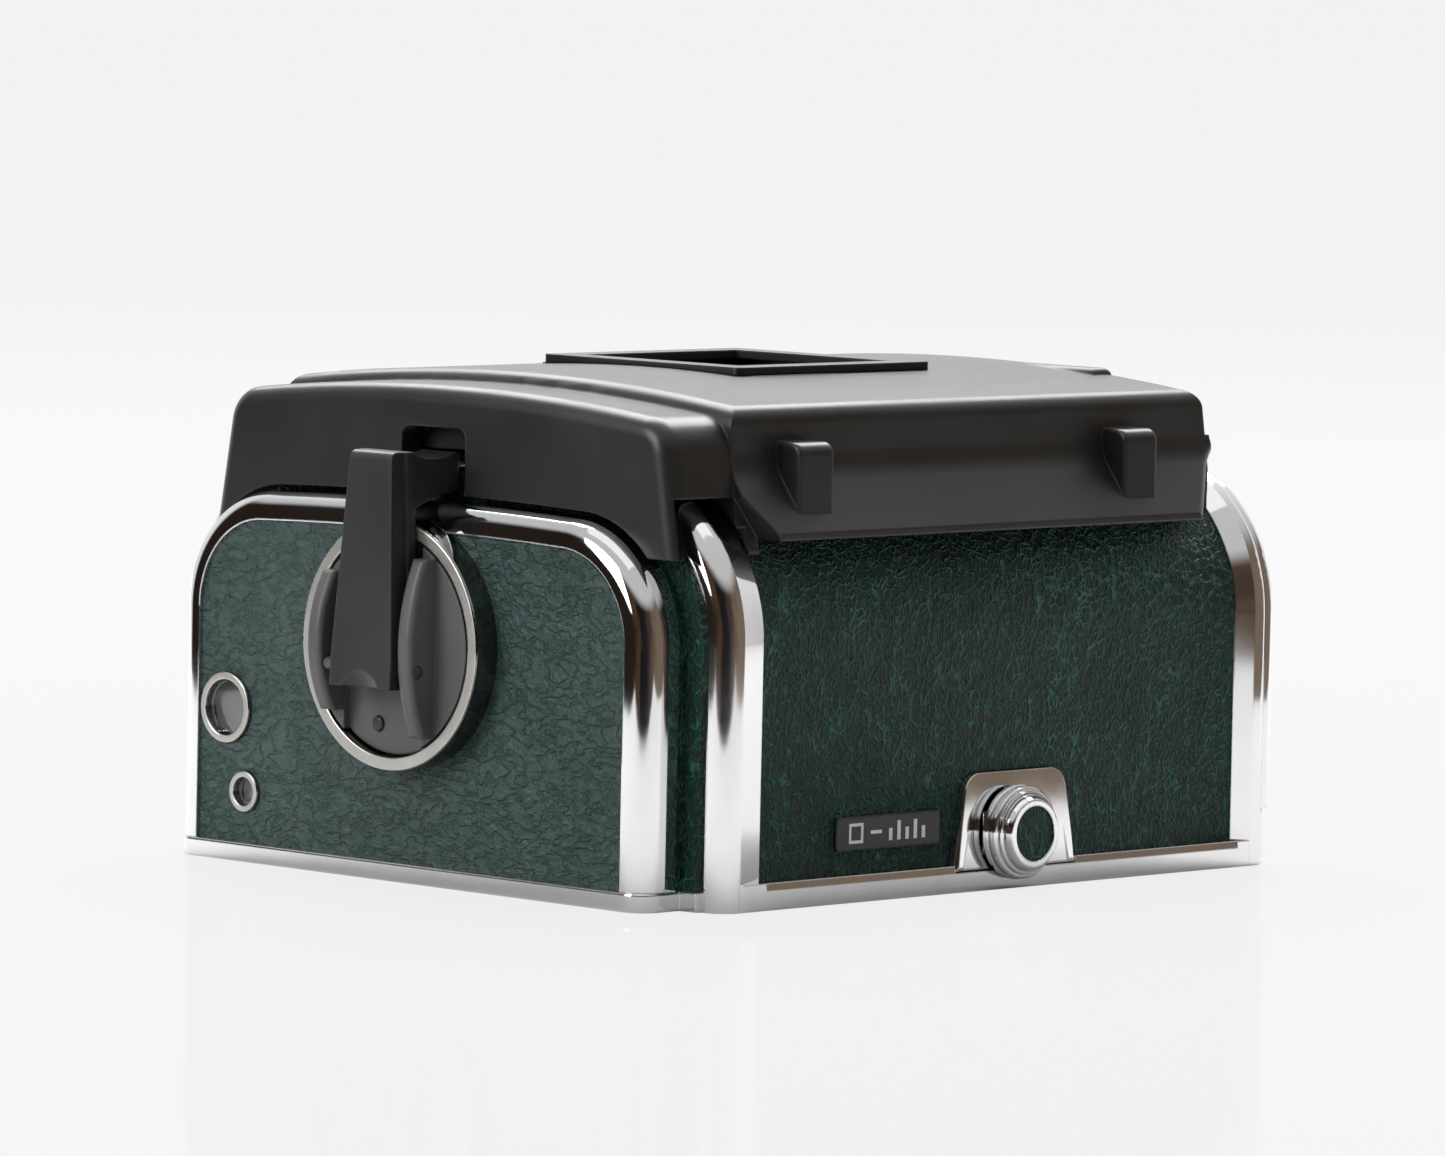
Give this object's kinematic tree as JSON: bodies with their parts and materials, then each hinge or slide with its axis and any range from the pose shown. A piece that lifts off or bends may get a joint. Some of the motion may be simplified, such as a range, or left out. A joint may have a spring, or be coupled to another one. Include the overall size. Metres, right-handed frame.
{
  "type": "roll film magazine",
  "caption": "Detachable 6x6 roll-film magazine with folding winding crank, release button, dark slide, film insert and memo frame, lying on its mating face.",
  "frame": {"origin": "centre of the film gate, in the plane of the mating face", "axes": "+Z out of the rear of the magazine, away from the camera body; -X towards the winding crank; +X the way the film insert and the dark slide pull out; -Y towards the release button"},
  "size_m": [0.1197, 0.0922, 0.059],
  "materials": {
    "chrome": "mirror-polished chrome plating",
    "satin_metal": "satin turned metal",
    "green_leather": "dark green pebble-grained leather with fine creases",
    "black_plastic": "fine satin black moulding",
    "crank_black": "satin black, slightly worn at the edges",
    "black_paint": "matt black enamel on light alloy",
    "label_black": "thin black enamelled plate",
    "casting": "light-alloy casting, blackened inside",
    "steel": "plain machined steel",
    "brass": "machined brass",
    "window_glass": "clear flat glass",
    "dial_grey": "pale grey enamel",
    "velvet": "black velvet light trap",
    "spool_plastic": "moulded black plastic"
  },
  "bodies": {
    "shell": {"front_frame": "chrome", "front_plate": "black_paint", "front_screws": "steel", "slide_frame": "black_paint", "slide_light_seal": "velvet", "main_shell": "casting", "shell_leather": "green_leather", "rim_crank_side": "chrome", "rim_key_side": "chrome", "crank_housing": "casting", "crank_face_rim": "chrome", "crank_face_leather": "green_leather", "crank_strip_leather": "green_leather", "counter_bezel": "satin_metal", "counter_glass": "window_glass", "status_bezel": "satin_metal", "status_glass": "window_glass", "crank_bezel": "satin_metal", "release_boss": "chrome", "latch_spring": "steel", "label_plate": "label_black", "rear_cover": "black_plastic", "slide_pocket": "black_paint", "memo_frame": "black_plastic", "takeup_bush": "brass", "gear_axles": "steel"},
    "release": {"release_button": "chrome", "button_inlay": "green_leather", "latch_bar": "steel"},
    "crank": {"crank_disc": "crank_black", "crank_shaft": "steel", "crank_hinge_pin": "steel", "crank_stop_rivet": "crank_black"},
    "folding_arm": {"crank_arm": "crank_black", "crank_knob": "crank_black"},
    "main_gear": {"crank_gear": "steel"},
    "takeup_drive": {"takeup_gear": "steel"},
    "body_drive": {"drive_gear": "steel"},
    "counter": {"counter_dial": "dial_grey"},
    "status": {"status_flag": "dial_grey"},
    "dark_slide": {"slide_blade": "steel", "slide_handle_hub": "chrome"},
    "slide_handle": {"slide_bail": "chrome"},
    "insert": {"insert_end_plate": "casting", "insert_rim": "chrome", "insert_leather": "green_leather", "insert_frame": "casting", "spool_pins": "steel", "pressure_springs": "steel", "key_bezel": "satin_metal"},
    "insert_key": {"key_dial": "crank_black", "lock_cam": "steel"},
    "key_grip": {"key_wing": "steel"},
    "spool": {"takeup_spool": "spool_plastic"},
    "film_roller_upper": {"upper_roller": "steel"},
    "film_roller_lower": {"lower_roller": "steel"},
    "film_pressure": {"pressure_plate": "black_paint"}
  },
  "joints": [
    {"name": "release_slide", "type": "slide", "parent": "shell", "child": "release", "axis": [-1, 0, 0], "range_m": [0, 0.0025], "stiffness_N_per_m": 600, "springref_m": -0.003, "deforming": ["latch_spring"]},
    {"name": "crank_turn", "type": "hinge", "parent": "shell", "child": "crank", "pos_m": [-0.0558, 0, 0.0275], "axis": [1, 0, 0], "range_deg": [-4, 6]},
    {"name": "crank_fold", "type": "hinge", "parent": "crank", "child": "folding_arm", "pos_m": [-0.0606, 0, 0.025], "axis": [0, -1, 0], "range_deg": [0, 180]},
    {"name": "main_gear_spin", "type": "hinge", "parent": "shell", "child": "main_gear", "pos_m": [-0.0508, 0, 0.0275], "axis": [1, 0, 0], "continuous": true},
    {"name": "takeup_drive_spin", "type": "hinge", "parent": "shell", "child": "takeup_drive", "pos_m": [-0.0508, -0.0248, 0.0275], "axis": [1, 0, 0], "continuous": true},
    {"name": "body_drive_spin", "type": "hinge", "parent": "shell", "child": "body_drive", "pos_m": [-0.0508, -0.00398, 0.0079], "axis": [1, 0, 0], "continuous": true},
    {"name": "counter_spin", "type": "hinge", "parent": "shell", "child": "counter", "pos_m": [-0.0527, 0.025, 0.0215], "axis": [1, 0, 0], "continuous": true},
    {"name": "status_shift", "type": "slide", "parent": "shell", "child": "status", "axis": [0, 1, 0], "range_m": [0, 0.0035]},
    {"name": "dark_slide_pull", "type": "slide", "parent": "shell", "child": "dark_slide", "axis": [1, 0, 0], "range_m": [0, 0.088]},
    {"name": "slide_handle_fold", "type": "hinge", "parent": "dark_slide", "child": "slide_handle", "pos_m": [0.0492, 0, 0.00485], "axis": [0, -1, 0], "range_deg": [0, 90]},
    {"name": "insert_pull", "type": "slide", "parent": "shell", "child": "insert", "axis": [1, 0, 0], "range_m": [0, 0.09]},
    {"name": "insert_key_turn", "type": "hinge", "parent": "insert", "child": "insert_key", "pos_m": [0.0455, 0, 0.0275], "axis": [1, 0, 0], "range_deg": [0, 90]},
    {"name": "key_grip_fold", "type": "hinge", "parent": "insert_key", "child": "key_grip", "pos_m": [0.0466, 0, 0.0275], "axis": [0, -1, 0], "range_deg": [0, 90]},
    {"name": "takeup_spool_spin", "type": "hinge", "parent": "insert", "child": "spool", "pos_m": [0, -0.0248, 0.0275], "axis": [1, 0, 0], "continuous": true},
    {"name": "upper_roller_spin", "type": "hinge", "parent": "insert", "child": "film_roller_upper", "pos_m": [0, -0.0335, 0.0112], "axis": [1, 0, 0], "continuous": true},
    {"name": "lower_roller_spin", "type": "hinge", "parent": "insert", "child": "film_roller_lower", "pos_m": [0, 0.0335, 0.0112], "axis": [1, 0, 0], "continuous": true},
    {"name": "film_pressure_lift", "type": "slide", "parent": "insert", "child": "film_pressure", "axis": [0, 0, 1], "range_m": [0, 0.0008], "stiffness_N_per_m": 1500, "springref_m": -0.001, "deforming": ["pressure_springs"]}
  ],
  "couplings": [
    {"joint": "takeup_drive_spin", "follows": "main_gear_spin", "ratio": -1.2143},
    {"joint": "takeup_spool_spin", "follows": "main_gear_spin", "ratio": -1.2143},
    {"joint": "body_drive_spin", "follows": "main_gear_spin", "ratio": -2.125},
    {"joint": "counter_spin", "follows": "main_gear_spin", "ratio": 0.1}
  ]
}
